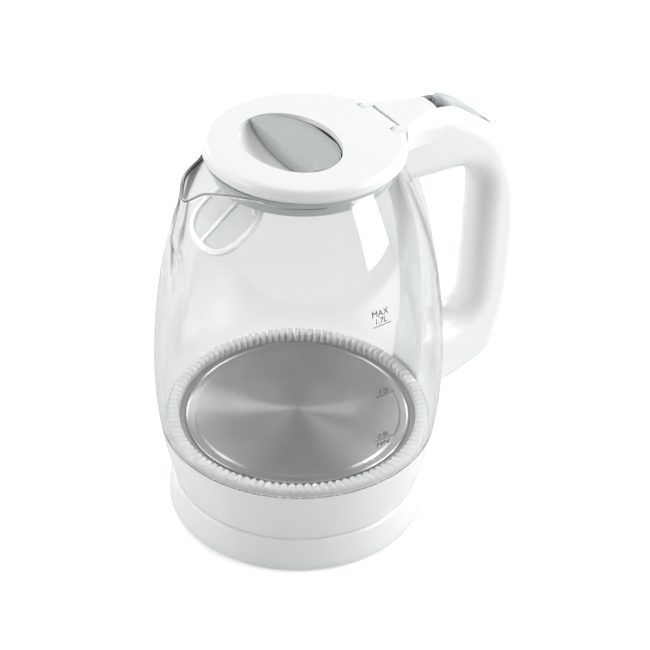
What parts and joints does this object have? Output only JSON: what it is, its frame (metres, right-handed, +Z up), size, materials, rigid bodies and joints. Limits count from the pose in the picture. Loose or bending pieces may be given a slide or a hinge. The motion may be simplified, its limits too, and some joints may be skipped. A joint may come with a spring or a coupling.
{
  "type": "electric kettle",
  "caption": "Cordless electric kettle: clear glass jug with drawn spout, white housing, loop handle and hinged lid with a grey latch tab, standing on a round power base.",
  "frame": {"origin": "centre of the power base on the table", "axes": "+Z up, +X towards the handle, -X towards the spout"},
  "size_m": [0.218, 0.158, 0.2313],
  "materials": {
    "white": "satin white moulding",
    "grey": "satin light grey moulding",
    "glass": "clear drawn glass",
    "clear": "clear ribbed moulding",
    "steel": "circular brushed",
    "aluminium": "cast",
    "rubber": "matt silicone",
    "dark": "heat resistant moulding",
    "brass": "turned contact",
    "board": "white solder mask",
    "filter": "frosted moulding",
    "mesh": "fine woven nylon",
    "screw": "zinc plated"
  },
  "bodies": {
    "power_base": {"base_bottom_plate": "dark", "base_foot_1": "rubber", "base_foot_2": "rubber", "base_foot_3": "rubber", "base_foot_4": "rubber", "base_pillars": "dark", "base_screw_1": "screw", "base_screw_2": "screw", "base_screw_3": "screw", "base_shell": "white", "connector_post": "dark", "cord_gland": "rubber", "post_contact_ring": "brass", "post_socket": "brass"},
    "lid": {"lid_cover": "white", "lid_plug": "grey", "lid_seal": "rubber", "tab_pin": "screw", "lid_screw_1": "screw", "lid_screw_2": "screw", "lid_screw_3": "screw"},
    "tab": {"lid_tab": "grey"},
    "bolt_left": {"latch_bolt_left": "filter"},
    "bolt_right": {"latch_bolt_right": "filter"},
    "switch": {"power_switch": "grey"},
    "jug": {"bimetal_disc": "steel", "control_unit": "dark", "coupler_pin": "brass", "cover_screw": "screw", "filter_frame": "filter", "filter_mesh": "mesh", "glass_jug": "glass", "handle_body": "white", "handle_bolt_1": "screw", "handle_bolt_2": "screw", "handle_top_cover": "white", "heat_spreader": "aluminium", "heating_element": "aluminium", "heating_plate": "steel", "housing_screw_1": "screw", "housing_screw_2": "screw", "housing_screw_3": "screw", "jug_coupler": "dark", "jug_housing": "white", "jug_underplate": "dark", "lid_hinge_pin": "screw", "light_board": "board", "light_ring": "clear", "neck_ring": "grey", "plate_seal": "rubber", "steam_switch": "dark", "switch_pin": "screw"}
  },
  "joints": [
    {"name": "jug_lift", "type": "slide", "parent": "power_base", "child": "jug", "axis": [0, 0, 1], "range_m": [0, 0.08]},
    {"name": "lid_hinge", "type": "hinge", "parent": "jug", "child": "lid", "pos_m": [0.0485, 0, 0.2234], "axis": [0, 1, 0], "range_deg": [0, 75]},
    {"name": "tab_hinge", "type": "hinge", "parent": "lid", "child": "tab", "pos_m": [0.0125, 0, 0.2236], "axis": [0, 1, 0], "range_deg": [0, 15], "stiffness_Nm_per_rad": 0.2},
    {"name": "bolt_left_slide", "type": "slide", "parent": "lid", "child": "bolt_left", "axis": [0.5, 0.866, 0], "range_m": [0, 0.0026]},
    {"name": "bolt_right_slide", "type": "slide", "parent": "lid", "child": "bolt_right", "axis": [0.5, -0.866, 0], "range_m": [0, 0.0026]},
    {"name": "switch_rock", "type": "hinge", "parent": "jug", "child": "switch", "pos_m": [0.097, 0, 0.213], "axis": [0, 1, 0], "range_deg": [-8, 0]}
  ],
  "couplings": [
    {"joint": "bolt_left_slide", "follows": "tab_hinge", "m_per_rad": 0.0099},
    {"joint": "bolt_right_slide", "follows": "tab_hinge", "m_per_rad": 0.0099}
  ]
}
